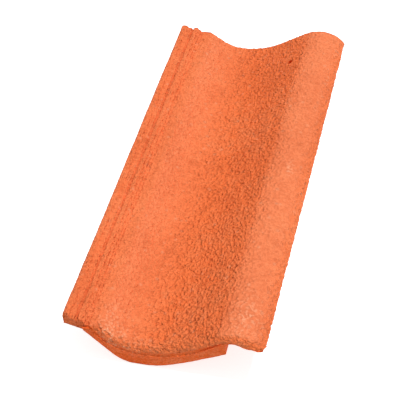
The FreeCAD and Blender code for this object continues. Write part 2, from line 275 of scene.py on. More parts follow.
class Section:
    """Places of the tile's cross section, worked out from the sizes. x is counted from the outer edge
    of the underlap and z from the floor."""

    def __init__(self, sizes):
        self.sizes = sizes
        self.cover = sizes.width - sizes.side_lap
        self.crest_x = self.cover + sizes.crest_past_cover
        self.crest_z = sizes.pan_height + sizes.roll_rise
        self.channel = sizes.pan_height + sizes.channel_rise
        self.crown = self.channel + OUTER_RIB_HEIGHT + sizes.lap_clearance
        self.base = self.channel - sizes.underlap_thickness
        self.foot = self.channel + sizes.lap_clearance
        self.roll_edge = self.foot + sizes.roll_edge_height
        self.roll_shell = self.crest_z - self.crown
        self.right_radius = (
            radii_sum(self.crest_x - sizes.pan_line, sizes.roll_rise, sizes.shell - self.roll_shell)
            * sizes.right_fullness
            - sizes.roll_radius
        )
        self.left_radius = (
            radii_sum(sizes.pan_line - sizes.channel_end, sizes.channel_rise, 0.0) * sizes.left_fullness
            - sizes.shoulder_radius
        )
        self.left_slope = touch_angle(
            sizes.pan_line - sizes.channel_end,
            sizes.pan_height + self.left_radius - self.channel + sizes.shoulder_radius,
            self.left_radius + sizes.shoulder_radius,
        )
        # the roll's outer arc goes level through the crest and down to the roll's edge
        run = sizes.width - self.crest_x
        drop = self.crest_z - self.roll_edge
        self.outer_radius = (run * run + drop * drop) / (2.0 * drop)
        self.outer_angle = math.asin(run / self.outer_radius)

    def underlap_points(self):
        """Corners of the underlap's top line, as x and height above the channel, from the rib's end."""
        steps = np.array(UNDERLAP_STEPS)
        x = OUTER_RIB_END + np.concatenate([[0.0], np.cumsum(steps[:, 0])])
        return x, np.concatenate([[OUTER_RIB_HEIGHT], steps[:, 1]])

    def wave(self, x, pan_depth, roll_depth, left_slope):
        """Height of the pan and of the roll up to its crest, at a depth below the top face: a straight
        left flank, an arc down to the pan's lowest line, an arc up from it, a straight right flank and
        the roll's arc. Each arc is its centre's height less, or plus, the root of its radius squared
        less the run squared."""
        sizes = self.sizes
        low_left = self.left_radius + pan_depth
        low_right = self.right_radius + pan_depth
        upper = sizes.roll_radius - roll_depth
        left_z = sizes.pan_height + self.left_radius
        right_z = sizes.pan_height + self.right_radius
        roll_z = self.crest_z - sizes.roll_radius
        drop = right_z - roll_z
        run = self.crest_x - sizes.pan_line
        right_slope = touch_angle(run, drop, low_right + upper)
        left_foot = sizes.pan_line - low_left * np.sin(left_slope)
        right_foot = sizes.pan_line + low_right * np.sin(right_slope)
        roll_foot = self.crest_x - upper * np.sin(right_slope)

        def bowl(radius):
            return np.sqrt(np.maximum(radius * radius - (x - sizes.pan_line) ** 2, 0.0))

        dome = np.sqrt(np.maximum(upper * upper - (x - self.crest_x) ** 2, 0.0))
        return np.select(
            [x < left_foot, x < sizes.pan_line, x < right_foot, x < roll_foot],
            [
                left_z - low_left * np.cos(left_slope) + (left_foot - x) * np.tan(left_slope),
                left_z - bowl(low_left),
                right_z - bowl(low_right),
                right_z - low_right * np.cos(right_slope) + (x - right_foot) * np.tan(right_slope),
            ],
            roll_z + dome,
        )

    def underside(self, x):
        """Height of the underside: the underlap's level base, the wave at the shell's depth, and under
        the roll the underlap's line again, moved over by the covering width and up by the clearance."""
        sizes = self.sizes
        under = self.left_radius + sizes.shell
        centre = sizes.pan_height + self.left_radius
        slope = touch_angle(sizes.pan_line - sizes.underlap_inner_edge, centre - self.base, under)
        step_x, step_z = self.underlap_points()
        roll_x = np.concatenate([[self.crest_x], self.cover + step_x, [sizes.width - sizes.foot_bevel]])
        roll_z = np.concatenate([[self.crown], self.foot + step_z, [self.foot]])
        return np.select(
            [x < sizes.underlap_inner_edge, x < self.crest_x],
            [np.full_like(x, self.base), self.wave(x, sizes.shell, self.roll_shell, slope)],
            np.interp(x, roll_x, roll_z),
        )

    def corner_back(self, x):
        """How far the cut corner of the underlap sets the front edge back."""
        return self.sizes.corner_cut * np.clip(1.0 - x / self.sizes.channel_end, 0.0, 1.0)

    def lip_line(self, x):
        """Height of the roll's underside at the nose, where its grooves are closed: the lowest level
        that the underside has reached from the crest outwards, softened."""
        fine = np.linspace(self.crest_x, self.sizes.width, 400)
        lowest = np.minimum.accumulate(self.underside(fine))
        soft = np.linspace(-LIP_SOFTNESS, LIP_SOFTNESS, 13)[:, None]
        level = np.interp(fine + soft, fine, lowest).mean(axis=0)
        return np.interp(x, fine, level)

    def top_path(self, step):
        """The top line as a fine chain of points (x, z): up the underlap's outer edge, over its ribs,
        along the wave, over the roll and round its edge to the foot."""
        sizes = self.sizes
        rib_x, rib_z = self.underlap_points()
        corner_x = np.concatenate([[0.0, 0.0, EDGE_BEVEL], rib_x, [sizes.channel_end]])
        corner_z = np.concatenate(
            [
                [self.base + 0.0004, self.channel + EDGE_HEIGHT, self.channel + OUTER_RIB_HEIGHT],
                self.channel + rib_z,
                [self.channel],
            ]
        )
        along = np.concatenate([[0.0], np.cumsum(np.hypot(np.diff(corner_x), np.diff(corner_z)))])
        fine = np.arange(0.0, along[-1], step)
        soft = np.linspace(-EDGE_SOFTNESS, EDGE_SOFTNESS, 7)[:, None]
        around = np.clip(fine + soft, 0.0, along[-1])
        lap_x = np.interp(around, along, corner_x).mean(axis=0)
        lap_z = np.interp(around, along, corner_z).mean(axis=0)

        radius = sizes.shoulder_radius
        turn = np.arange(0.0, self.left_slope, step / radius)
        shoulder_x = sizes.channel_end + radius * np.sin(turn)
        shoulder_z = self.channel - radius + radius * np.cos(turn)

        wave_x = np.arange(sizes.channel_end + radius * math.sin(self.left_slope), self.crest_x, step)
        wave_z = self.wave(wave_x, 0.0, 0.0, self.left_slope)

        turn = np.arange(0.0, self.outer_angle, step / self.outer_radius)
        outer_x = self.crest_x + self.outer_radius * np.sin(turn)
        outer_z = self.crest_z - self.outer_radius + self.outer_radius * np.cos(turn)
        edge_x = np.linspace(sizes.width, sizes.width - sizes.foot_bevel, 40)
        edge_z = np.linspace(self.roll_edge, self.foot, 40)
        return (
            np.concatenate([lap_x, shoulder_x, wave_x, outer_x, edge_x]),
            np.concatenate([lap_z, shoulder_z, wave_z, outer_z, edge_z]),
        )


# ---- relief ----

class Relief:
    """Random sheets of grains and of smooth unevenness, laid out over a face's own width and length."""

    def __init__(self, seed, width, length, step=0.0005):
        self.step = step
        self.shape = (int(width / step) + 2, int(length / step) + 2)
        self.random = np.random.default_rng(seed)

    def sheet(self, across, along):
        """White noise blurred by a Gaussian of these two widths, by way of its Fourier transform,
        and scaled to a spread of 1."""
        waves = np.fft.rfft2(self.random.standard_normal(self.shape))
        fx = np.fft.fftfreq(self.shape[0], self.step)[:, None]
        fy = np.fft.rfftfreq(self.shape[1], self.step)[None, :]
        blur = np.exp(-2.0 * (math.pi ** 2) * ((fx * across) ** 2 + (fy * along) ** 2))
        field = np.fft.irfft2(waves * blur, s=self.shape)
        return (field - field.mean()) / field.std()

    def grains(self, size):
        """Round grains with narrow hollows between them. Each cell of a square lattice holds one grain,
        moved at random inside it. A place's height is the highest of its nine nearest grains, each
        falling off as its own height times 1 - 1.3 (distance / size) squared. From 0 in a hollow to 1
        on a grain."""
        lattice = tuple(int(points * self.step / size) + 4 for points in self.shape)
        shift_x = self.random.uniform(0.0, 1.0, lattice)
        shift_y = self.random.uniform(0.0, 1.0, lattice)
        height = self.random.uniform(0.55, 1.0, lattice)
        u = 1.0 + np.arange(self.shape[0])[:, None] * self.step / size
        v = 1.0 + np.arange(self.shape[1])[None, :] * self.step / size
        i = u.astype(int)
        j = v.astype(int)
        level = np.zeros(self.shape)
        for near_i in (i - 1, i, i + 1):
            for near_j in (j - 1, j, j + 1):
                across = u - near_i - shift_x[near_i, near_j]
                along = v - near_j - shift_y[near_i, near_j]
                rise = height[near_i, near_j] * (1.0 - 1.3 * (across * across + along * along))
                level = np.maximum(level, rise)
        return np.clip(1.1 * level, 0.0, 1.0)

    def sample(self, sheet, across, along):
        """Value of a sheet between its points, by weights of the four round each place."""
        u = np.clip(across / self.step, 0.0, self.shape[0] - 1.001)
        v = np.clip(along / self.step, 0.0, self.shape[1] - 1.001)
        i = u.astype(int)
        j = v.astype(int)
        a = u - i
        b = v - j
        near = sheet[i, j] * (1.0 - a) + sheet[i + 1, j] * a
        far = sheet[i, j + 1] * (1.0 - a) + sheet[i + 1, j + 1] * a
        return near * (1.0 - b) + far * b


def bump_at(x, y, centre_x, centre_y, width, length):
    """A round patch that is 1 at its centre: exp(-(run across / width)^2 - (run along / length)^2)."""
    return np.exp(-(((x - centre_x) / width) ** 2) - ((y - centre_y) / length) ** 2)


def line_at(x, centre_x, width):
    """A line along the tile that is 1 in its middle: exp(-(run across / width)^2)."""
    return np.exp(-(((x - centre_x) / width) ** 2))


def step_up(value, low, high):
    """0 below low, 1 above high, and a smooth turn between them."""
    t = np.clip((value - low) / (high - low), 0.0, 1.0)
    return t * t * (3.0 - 2.0 * t)


def step_down(value, low, high):
    """1 below low, 0 above high, and a smooth turn between them."""
    return step_up(-value, -high, -low)


# ---- meshes ----

def grid_normals(points):
    """Unit normals of a grid of points, from the cross product of its two directions."""
    across = np.gradient(points, axis=1)
    along = np.gradient(points, axis=0)
    normal = np.cross(across, along)
    return normal / np.maximum(np.linalg.norm(normal, axis=2, keepdims=True), TINY ** 2)


def grid_quads(numbers):
    """Quads between the neighbours of a grid of vertex numbers."""
    return np.stack(
        [numbers[:-1, :-1], numbers[:-1, 1:], numbers[1:, 1:], numbers[1:, :-1]], axis=-1
    ).reshape(-1, 4)


def stitch(fine, coarse, ratio, flip):
    """Triangles between two rows of vertices, where one step of the coarse row faces ratio steps of
    the fine one: the first half of the fine steps meet its near end, the rest its far end."""
    count = len(coarse) - 1
    start = np.arange(count)[:, None]
    k = np.arange(ratio)[None, :]
    half = ratio // 2
    tip = np.where(k < half, coarse[start], coarse[start + 1])
    fans = np.stack([tip, fine[start * ratio + k], fine[start * ratio + k + 1]], axis=-1).reshape(-1, 3)
    gaps = np.stack([coarse[:-1], fine[np.arange(count) * ratio + half], coarse[1:]], axis=-1)
    faces = np.concatenate([fans, gaps])
    return faces[:, ::-1] if flip else faces


def make_object(name, vertices, face_groups, materials, values):
    """A closed mesh object at the origin. face_groups is a list of (faces, material number), and
    values gives each vertex attribute. Vertices that no face uses are left out."""
    used = np.unique(np.concatenate([faces.ravel() for faces, _ in face_groups]))
    renumber = np.full(len(vertices), -1)
    renumber[used] = np.arange(len(used))
    faces = []
    material_of = []
    for group, number in face_groups:
        faces += renumber[group].tolist()
        material_of += [number] * len(group)
    mesh = bpy.data.meshes.new(name)
    mesh.from_pydata(vertices[used].tolist(), [], faces)
    for material in materials:
        mesh.materials.append(material)
    mesh.polygons.foreach_set("material_index", material_of)
    for key, value in values.items():
        attribute = mesh.attributes.new(key, "FLOAT", "POINT")
        attribute.data.foreach_set("value", value[used].astype(np.float32))
    mesh.shade_smooth()
    mesh.set_sharp_from_angle(angle=SHARP_ANGLE)
    if mesh.validate(clean_customdata=False):
        raise RuntimeError(f"{name} has faces that Blender had to mend")
    mesh.update()
    made = bpy.data.objects.new(name, mesh)
    bpy.context.scene.collection.objects.link(made)
    return made


def place(points, sizes):
    """From places counted from the tile's corner to the row's frame, never outside the tile's box."""
    size = np.array([sizes.width, sizes.length, HIGH.z - LOW.z])
    return np.clip(points, 0.0, size) + np.array([LOW.x, LOW.y, LOW.z])


def open_hole(x, y, hole, reach, sizes):
    """Draws a grid in round the nail hole, whose middle is at this row and column. The ring of vertices
    two steps from it goes to the hole's circle, and rings further out are blended back to where they
    were by their distance in steps."""
    i = np.arange(x.shape[0])[:, None] - hole[0]
    j = np.arange(x.shape[1])[None, :] - hole[1]
    steps = np.maximum(np.abs(i), np.abs(j)).astype(float)
    weight = np.clip((reach - steps) / (reach - 2.0), 0.0, 1.0)
    length = np.maximum(np.hypot(i, j), TINY)
    hole_x = sizes.nail_from_edge + sizes.nail_radius * j / length
    hole_y = sizes.length - sizes.nail_from_head + sizes.nail_radius * i / length
    return x * (1.0 - weight) + hole_x * weight, y * (1.0 - weight) + hole_y * weight


def outside_block(shape, hole):
    """Which cells of a grid lie outside the four by four block round the hole."""
    row, column = hole
    keep = np.ones((shape[0] - 1, shape[1] - 1), bool)
    keep[row - 2:row + 2, column - 2:column + 2] = False
    return keep.reshape(-1)


def block_rim(numbers, hole):
    """The sixteen vertices round the hole, in order."""
    row, column = hole
    a = numbers[row - 2, column - 2:column + 2]
    b = numbers[row - 2:row + 2, column + 2]
    c = numbers[row + 2, column + 2:column - 2:-1]
    d = numbers[row + 2:row - 2:-1, column - 2]
    return np.concatenate([a, b, c, d])


# ---- nodes ----

def new_group(name, inputs, outputs):
    """An empty shader node group with these sockets, each (name, socket type, default)."""
    group = bpy.data.node_groups.new(name, "ShaderNodeTree")
    for direction, sockets in (("INPUT", inputs), ("OUTPUT", outputs)):
        for label, kind, default in sockets:
            socket = group.interface.new_socket(name=label, in_out=direction, socket_type=kind)
            if default is not None:
                socket.default_value = default
    return group, group.nodes.new("NodeGroupInput"), group.nodes.new("NodeGroupOutput")


def noise(tree, vector, scale, detail, roughness, distortion=0.0):
    """A noise texture; scale is a number or a socket."""
    node = tree.nodes.new("ShaderNodeTexNoise")
    node.inputs["Detail"].default_value = detail
    node.inputs["Roughness"].default_value = roughness
    node.inputs["Distortion"].default_value = distortion
    tree.links.new(vector, node.inputs["Vector"])
    if isinstance(scale, (int, float)):
        node.inputs["Scale"].default_value = scale
    else:
        tree.links.new(scale, node.inputs["Scale"])
    return node.outputs["Fac"]


def remap(tree, value, low, high, to_low=0.0, to_high=1.0):
    """Carries a value from one range to another, clamped."""
    node = tree.nodes.new("ShaderNodeMapRange")
    node.interpolation_type = "SMOOTHSTEP"
    for name, number in (("From Min", low), ("From Max", high), ("To Min", to_low), ("To Max", to_high)):
        node.inputs[name].default_value = number
    tree.links.new(value, node.inputs["Value"])
    return node.outputs["Result"]


def maths(tree, operation, first, second):
    """A Math node on two sockets or numbers."""
    node = tree.nodes.new("ShaderNodeMath")
    node.operation = operation
    for number, value in enumerate((first, second)):
        if isinstance(value, (int, float)):
            node.inputs[number].default_value = value
        else:
            tree.links.new(value, node.inputs[number])
    return node.outputs["Value"]


def mix_colours(tree, amount, first, second, blend="MIX"):
    """A Mix node on two colours; each may be a socket or a linear colour."""
    node = tree.nodes.new("ShaderNodeMix")
    node.data_type = "RGBA"
    node.blend_type = blend
    for name, value in (("Factor", amount), ("A", first), ("B", second)):
        socket = next(s for s in node.inputs if s.name == name and s.enabled)
        if isinstance(value, (int, float)):
            socket.default_value = value
        elif isinstance(value, bpy.types.NodeSocket):
            tree.links.new(value, socket)
        else:
            socket.default_value = (*value, 1.0)
    return next(s for s in node.outputs if s.name == "Result" and s.enabled)


def grain_group():
    """Fine sand in the face: round knobs and finer noise as its height, and dark specks and pale specks
    as masks."""
    group, given, out = new_group(
        "Sand grains",
        [("Vector", "NodeSocketVector", None), ("Scale", "NodeSocketFloat", 900.0)],
        [
            ("Height", "NodeSocketFloat", None),
            ("Dark specks", "NodeSocketFloat", None),
            ("Pale specks", "NodeSocketFloat", None),
        ],
    )
    vector = given.outputs["Vector"]
    scale = given.outputs["Scale"]
    sand = noise(group, vector, scale, 2.0, 0.55)
    knobs = group.nodes.new("ShaderNodeTexVoronoi")
    knobs.feature = "SMOOTH_F1"
    knobs.inputs["Smoothness"].default_value = 0.25
    group.links.new(vector, knobs.inputs["Vector"])
    group.links.new(maths(group, "MULTIPLY", scale, 0.85), knobs.inputs["Scale"])
    knob = remap(group, knobs.outputs["Distance"], 0.05, 0.75, 0.26, 0.0)
    fine = maths(group, "ADD", knob, maths(group, "MULTIPLY", sand, 0.75))
    cells = group.nodes.new("ShaderNodeTexVoronoi")
    cells.feature = "F1"
    group.links.new(vector, cells.inputs["Vector"])
    group.links.new(maths(group, "MULTIPLY", scale, 0.42), cells.inputs["Scale"])
    middle = remap(group, cells.outputs["Distance"], 0.12, 0.40, 1.0, 0.0)
    parts = group.nodes.new("ShaderNodeSeparateColor")
    group.links.new(cells.outputs["Color"], parts.inputs["Color"])
    pit = maths(group, "MULTIPLY", middle, remap(group, parts.outputs["Red"], 0.45, 0.75))
    pale = maths(group, "MULTIPLY", middle, remap(group, parts.outputs["Green"], 0.70, 0.90))
    height = maths(group, "SUBTRACT", fine, maths(group, "MULTIPLY", pit, 0.13))
    group.links.new(height, out.inputs["Height"])
    group.links.new(pit, out.inputs["Dark specks"])
    group.links.new(pale, out.inputs["Pale specks"])
    return group


def mottle_group():
    """Slow drift of the colour over the tile: cloudy patches and drag lines along its length."""
    group, given, out = new_group(
        "Colour drift",
        [
            ("Vector", "NodeSocketVector", None),
            ("Colour", "NodeSocketColor", (0.8, 0.2, 0.06, 1.0)),
            ("Amount", "NodeSocketFloat", 1.0),
        ],
        [("Colour", "NodeSocketColor", None)],
    )
    vector = given.outputs["Vector"]
    cloud = noise(group, vector, 17.0, 3.0, 0.55, 0.4)
    stretch = group.nodes.new("ShaderNodeMapping")
    stretch.inputs["Scale"].default_value = (1.0, 0.035, 1.0)
    group.links.new(vector, stretch.inputs["Vector"])
    lines = noise(group, stretch.outputs["Vector"], 240.0, 2.0, 0.5)
    blot = noise(group, vector, 120.0, 2.0, 0.6)
    clouds = remap(group, cloud, 0.3, 0.7, -0.55, 0.55)
    drags = remap(group, lines, 0.3, 0.7, -0.14, 0.14)
    blots = remap(group, blot, 0.25, 0.75, -0.45, 0.45)
    total = maths(group, "ADD", maths(group, "ADD", clouds, drags), blots)
    total = maths(group, "MULTIPLY", total, given.outputs["Amount"])
    light = maths(group, "MAXIMUM", total, 0.0)
    dark = maths(group, "MAXIMUM", maths(group, "MULTIPLY", total, -1.0), 0.0)
    paler = mix_colours(group, light, given.outputs["Colour"], DRIFT_PALE)
    deeper = mix_colours(group, dark, paler, DRIFT_DEEP)
    group.links.new(deeper, out.inputs["Colour"])
    return group


def attribute_value(tree, name):
    """A vertex attribute of the piece, as a value."""
    node = tree.nodes.new("ShaderNodeAttribute")
    node.attribute_name = name
    return node.outputs["Fac"]


def placed_group(tree, group, vector, **values):
    """A shader node group in a material, with its own input values."""
    node = tree.nodes.new("ShaderNodeGroup")
    node.node_tree = group
    tree.links.new(vector, node.inputs["Vector"])
    for name, value in values.items():
        node.inputs[name].default_value = value
    return node


def new_material(name):
    """An empty material that uses nodes, its tree and the socket that its surface goes to."""
    made = bpy.data.materials.new(name)
    made.use_nodes = True
    made.node_tree.nodes.clear()
    output = made.node_tree.nodes.new("ShaderNodeOutputMaterial")
    return made, made.node_tree, output.inputs["Surface"]


def concrete_material(name, base, finish, sand, drift, grain_scale, drift_amount, shade_amount, bump):
    """Coloured concrete: a colour that takes a painted sheen, paler by the mesh's sheen attribute, and
    drifts; painted shade in the hollows that its grain attribute marks; pale grain tops where its
    glint_and_wear attribute marks a painted highlight and real wear; and fine sand as bump."""
    made, tree, surface = new_material(name)
    shader = tree.nodes.new("ShaderNodeBsdfPrincipled")
    tree.links.new(shader.outputs["BSDF"], surface)
    vector = tree.nodes.new("ShaderNodeTexCoord").outputs["Object"]
    grains = placed_group(tree, sand, vector, Scale=grain_scale)
    drifting = placed_group(tree, drift, vector, Amount=drift_amount)
    height = grains.outputs["Height"]
    # painted sheen: the face colour turns paler by the sheen attribute, most on slopes that face the lamp
    sheen = attribute_value(tree, "sheen")
    sheen_tone = mix_colours(tree, sheen, tuple(base), tuple(finish.sheen_colour))
    tree.links.new(sheen_tone, drifting.inputs["Colour"])

    shade_tint = tuple(finish.hollow_shade_colour)
    pale = tuple(finish.pale_and_glint_colour)
    # painted shade where the grain attribute is low: the hollows between grains, the underlap's grooves, a
    # line under the granular lip and the bar under the underlap's corner
    hollow = remap(tree, attribute_value(tree, "grain"), 0.40, 0.0)
    grain_tops = remap(tree, height, 0.46, 0.62, 0.12, 1.0)
    tone = drifting.outputs["Colour"]
    for amount, tint in (
        (maths(tree, "MULTIPLY", hollow, shade_amount), shade_tint),
        (maths(tree, "MULTIPLY", grains.outputs["Dark specks"], 0.24 * shade_amount), shade_tint),
        # painted shade in the low parts of the sand's height
        (remap(tree, height, 0.50, 0.36, 0.0, 0.20), shade_tint),
        (maths(tree, "MULTIPLY", grains.outputs["Pale specks"], 0.26), pale),
        # painted highlight near the nose and real wear on the scuff, pale on the grain tops by the
        # glint_and_wear attribute
        (maths(tree, "MULTIPLY", attribute_value(tree, "glint_and_wear"), grain_tops), pale),
    ):
        tone = mix_colours(tree, amount, tone, tint)
    tree.links.new(tone, shader.inputs["Base Color"])
    tree.links.new(remap(tree, height, 0.2, 0.8, 0.74, 0.46), shader.inputs["Roughness"])
    shader.inputs["Specular IOR Level"].default_value = 0.12

    # the sand's bump fades where the painted sheen is strong
    relief = tree.nodes.new("ShaderNodeBump")
    faded = maths(tree, "MULTIPLY", sheen, -0.35 * bump)
    tree.links.new(maths(tree, "ADD", faded, bump), relief.inputs["Strength"])
    relief.inputs["Distance"].default_value = SAND_RELIEF
    tree.links.new(height, relief.inputs["Height"])
    tree.links.new(relief.outputs["Normal"], shader.inputs["Normal"])
    return made


def concrete_materials(finish):
    """The granular weather face and the smoother cast faces, made once and shared."""
    names = ("granular_face", "cast_face")
    if all(name in bpy.data.materials for name in names):
        return [bpy.data.materials[name] for name in names]
    sand = grain_group()
    drift = mottle_group()
    return [
        concrete_material(names[0], finish.face_colour, finish, sand, drift, 380.0, 0.30, 0.50, 1.0),
        concrete_material(names[1], finish.cast_and_shade_colour, finish, sand, drift, 520.0, 0.40, 0.30, 0.5),
    ]


# ---- the shell's two grids ----

def nearest(values, wanted):
    """Number of the value that is nearest to the one wanted."""
    return int(np.argmin(np.abs(values - wanted)))


def across_rows(values, count):
    """One value for each row, repeated over all its columns."""
    return np.repeat(values[:, None], count, axis=1)


def columns_of(path_x, path_z, sizes):
    """Length along the top line at each of its points, and at each column of the grid. The columns are
    evenly spaced in the running sum of length times density, which is higher over the underlap."""
    along = np.concatenate([[0.0], np.cumsum(np.hypot(np.diff(path_x), np.diff(path_z)))])
    density = np.where(path_x < sizes.channel_end, RIB_DENSITY, 1.0) / sizes.mesh_step
    count = np.concatenate([[0.0], np.cumsum(0.5 * (density[1:] + density[:-1]) * np.diff(along))])
    total = 2 * int(count[-1] / 2.0)
    return along, np.interp(np.linspace(0.0, count[-1], total + 1), count, along)


def nose_starts(section, x):
    """How far back the nose's round starts on each column, the angle that it starts at, and the roll's
    slope there. It starts a full radius deep, less where the roll's outer edge is thinner than that:
    there, the deepest start that still leaves a thin face above the underside. A start at this depth
    lies back by the radius less the root of (radius squared - (radius - depth) squared)."""
    radius = section.sizes.nose_radius
    sine = np.clip((x - section.crest_x) / section.outer_radius, 0.0, 1.0)
    slope = np.clip(np.arcsin(sine), 0.0, section.outer_angle)
    depth = np.linspace(0.0, radius, NOSE_TRIES + 1)[:, None]
    reach = section.outer_radius - depth
    deep_x = section.crest_x + reach * np.sin(slope)
    deep_z = section.crest_z - section.outer_radius + reach * np.cos(slope)
    room = deep_z - section.underside(deep_x) > THIN_FACE
    deepest = (np.cumprod(room, axis=0).sum(axis=0) - 1).clip(0) * radius / NOSE_TRIES
    deepest[int(np.argmax(x)):] = 0.0
    start = np.where(x <= section.crest_x, radius, deepest)
    back = radius - np.sqrt(radius * radius - (radius - start) ** 2)
    back = np.maximum(back, section.corner_back(x))
    return back, np.arccos(1.0 - back / radius), slope


class ShellGrid:
    """Points of the shell. The skin's columns run across the tile along its top line, and its rows go
    up the front face, round the nose, along the tile, round the head's edge and down the head. The
    underside has every second column and every fourth row."""

    def __init__(self, section):
        self.section = section
        self.sizes = section.sizes
        self.path_x, self.path_z = section.top_path(PATH_STEP)
        self.along, self.column = columns_of(self.path_x, self.path_z, self.sizes)
        self.column_x = np.interp(self.column, self.along, self.path_x)
        self.far_x = self.sizes.width - self.sizes.foot_bevel - ROLL_FOOT_INSET
        self.hole_y = self.sizes.length - self.sizes.nail_from_head

    def top_rows(self):
        """Place along the tile and depth below the top line of each point of the top face, and the
        roll's slope at each column. Round the nose a point lies radius (1 - cos turn) back and radius
        (1 - sin turn) deep. Along the tile the rows are evenly spaced and not lowered. Round the head's
        edge a point lies HEAD_EDGE (1 - sin bend) before the head and HEAD_DROP (1 - cos bend) deep."""
        radius = self.sizes.nose_radius
        count = len(self.column)
        back, first_turn, slope = nose_starts(self.section, self.column_x)
        up = np.linspace(0.0, 1.0, NOSE_ROWS + 1)[:, None]
        turn = first_turn + (0.5 * math.pi - first_turn) * up
        nose_y = radius * (1.0 - np.cos(turn)) - NOSE_SPREAD * (1.0 - up) * back / radius
        run = self.sizes.length - radius - HEAD_EDGE
        run_rows = 4 * int(round(run / self.sizes.mesh_step / 4.0)) - 4
        run_y = across_rows(radius + run * np.linspace(0.0, 1.0, run_rows + 1)[1:], count)
        bend = np.linspace(1.0 / HEAD_ROWS, 1.0, HEAD_ROWS) * 0.5 * math.pi
        head_y = across_rows(self.sizes.length - HEAD_EDGE * (1.0 - np.sin(bend)), count)
        head_depth = across_rows(HEAD_DROP * (1.0 - np.cos(bend)), count)
        thick = (self.column > self.column[6]) & (self.column_x <= self.section.crest_x)
        head_depth = head_depth * np.where(thick, 1.0, 0.3)
        y = np.concatenate([nose_y, run_y, head_y])
        depth = np.concatenate([radius * (1.0 - np.sin(turn)), np.zeros_like(run_y), head_depth])
        return y, depth, slope

    def top_face(self):
        """Points of the top face, and the row and column in the middle of the nail hole. The hole draws
        the grid in, and then the depths lower it: straight down before the crest, square to the roll
        past it. Over the underlap the front edge also sinks by exp(-run / LAP_NOSE_RUN)."""
        section = self.section
        y, depth, slope = self.top_rows()
        hole = nearest(y[:, 0], self.hole_y), nearest(self.column_x, self.sizes.nail_from_edge)
        flat_x = np.broadcast_to(self.column_x, y.shape)
        moved_x, y = open_hole(flat_x, y, hole, HOLE_REACH, self.sizes)
        place_along = np.broadcast_to(self.column, y.shape).copy()
        near_hole = slice(hole[1] - HOLE_REACH - 1, hole[1] + HOLE_REACH + 2)
        place_along[:, near_hole] = np.interp(moved_x[:, near_hole], self.column_x, self.column)
        x = np.interp(place_along, self.along, self.path_x)
        z = np.interp(place_along, self.along, self.path_z)

        lowered = section.wave(x, depth, depth, section.left_slope)
        on_roll = x > section.crest_x
        z = np.where(on_roll, z - depth * np.cos(slope), np.minimum(z, lowered))
        x = np.where(on_roll, x - depth * np.sin(slope), x)
        lap = step_down(x, self.sizes.channel_end - 0.003, self.sizes.channel_end + 0.004)
        z = z - LAP_NOSE_DROP * lap * np.exp(-(y - y[0]) / LAP_NOSE_RUN)
        return np.stack([x, y, z], axis=-1), hole

    def foot_line(self, front):
        """Foot of the front face under each column: x, spread evenly under the ribs and the roll, and
        y, along the cut corner and, under the roll, along the front edge."""
        section = self.section
        column = self.column
        half = len(column) // 2
        edge = int(np.argmax(self.column_x))
        lap = column / np.interp(self.sizes.channel_end, self.column_x[:half], column[:half])
        crest = np.interp(section.crest_x, self.column_x[:edge], column[:edge])
        over = (column - crest) / (column[-1] - crest)
        x = np.select(
            [column > crest, self.column_x < self.sizes.channel_end],
            [
                section.crest_x + (self.far_x - section.crest_x) * over,
                FOOT_INSET + (self.sizes.channel_end - FOOT_INSET) * lap,
            ],
            self.column_x,
        )
        front_edge = front[: int(np.argmax(front[:, 0])) + 1]
        under_roll = np.interp(x, front_edge[:, 0], front_edge[:, 1])
        return x, np.where(x < section.crest_x, section.corner_back(x), under_roll)

    def skin(self, top, foot_x, foot_y):
        """The top face with the front and head faces. Those are ruled: a point is the foot plus a share
        of the way up from the foot to the edge of the top face."""
        section = self.section
        foot_z = section.underside(foot_x)
        lip_z = np.where(foot_x > section.crest_x, section.lip_line(foot_x), foot_z)
        front_foot = np.stack([foot_x, foot_y, lip_z], axis=-1)
        head_foot = np.stack([foot_x, np.full_like(foot_x, self.sizes.length), foot_z], axis=-1)
        up = np.linspace(0.0, 1.0, FACE_ROWS + 1)[:-1, None, None]
        front_rows = front_foot + (top[0] - front_foot) * up
        head_rows = (head_foot + (top[-1] - head_foot) * up)[::-1]
        return np.concatenate([front_rows, top, head_rows])

    def under_face(self, rows, foot_x, foot_y):
        """Points of the underside, and the row and column in the middle of the nail hole. x and y are
        spread evenly, a little inside the end faces' feet, and z is the section's underside, raised or
        lowered to the lip line where the roll's grooves are closed behind the nose."""
        section = self.section
        picked = foot_x[::2]
        front_y = foot_y[::2]
        rise = np.linspace(0.0, 1.0, rows + 1)[:, None]
        y = front_y + UNDER_INSET + (self.sizes.length - front_y - 2.0 * UNDER_INSET) * rise
        run = self.far_x - UNDER_ROLL_INSET - UNDER_LAP_INSET
        over = (picked - picked[0]) / (picked[-1] - picked[0])
        x = np.broadcast_to(UNDER_LAP_INSET + run * over, y.shape)
        hole = nearest(y[:, 0], self.hole_y), nearest(x[0], self.sizes.nail_from_edge)
        x, y = open_hole(x, y, hole, UNDER_HOLE_REACH, self.sizes)
        z = section.underside(x)
        closed = step_down(y - front_y, 0.005, 0.010) * (x > section.crest_x)
        z = z + closed * (section.lip_line(x) - z)
        return np.stack([x, y, z], axis=-1), hole


# ---- the shell's relief, wear and painted light and shade ----

def coarseness(x, y, patch):
    """Strength of the grain: full on the pan's right flank, half of that on the pan's left side and on
    the roll, weak on the underlap, stronger again towards the nose, and drifting with the patches."""
    level = 0.48 + 0.52 * step_up(x, 0.052, 0.090) - 0.50 * step_up(x, 0.136, 0.150)
    level = level - 0.26 * step_down(x, 0.028, 0.038)
    level = level + 0.30 * step_down(y, 0.010, 0.090) * step_up(x, 0.030, 0.045)
    nose = step_down(y, 0.004, 0.0105) * step_down(x, 0.138, 0.152)
    level = np.maximum(level, 0.95 * nose)
    return np.clip(level * (1.0 + 0.16 * patch), 0.18, 1.2)


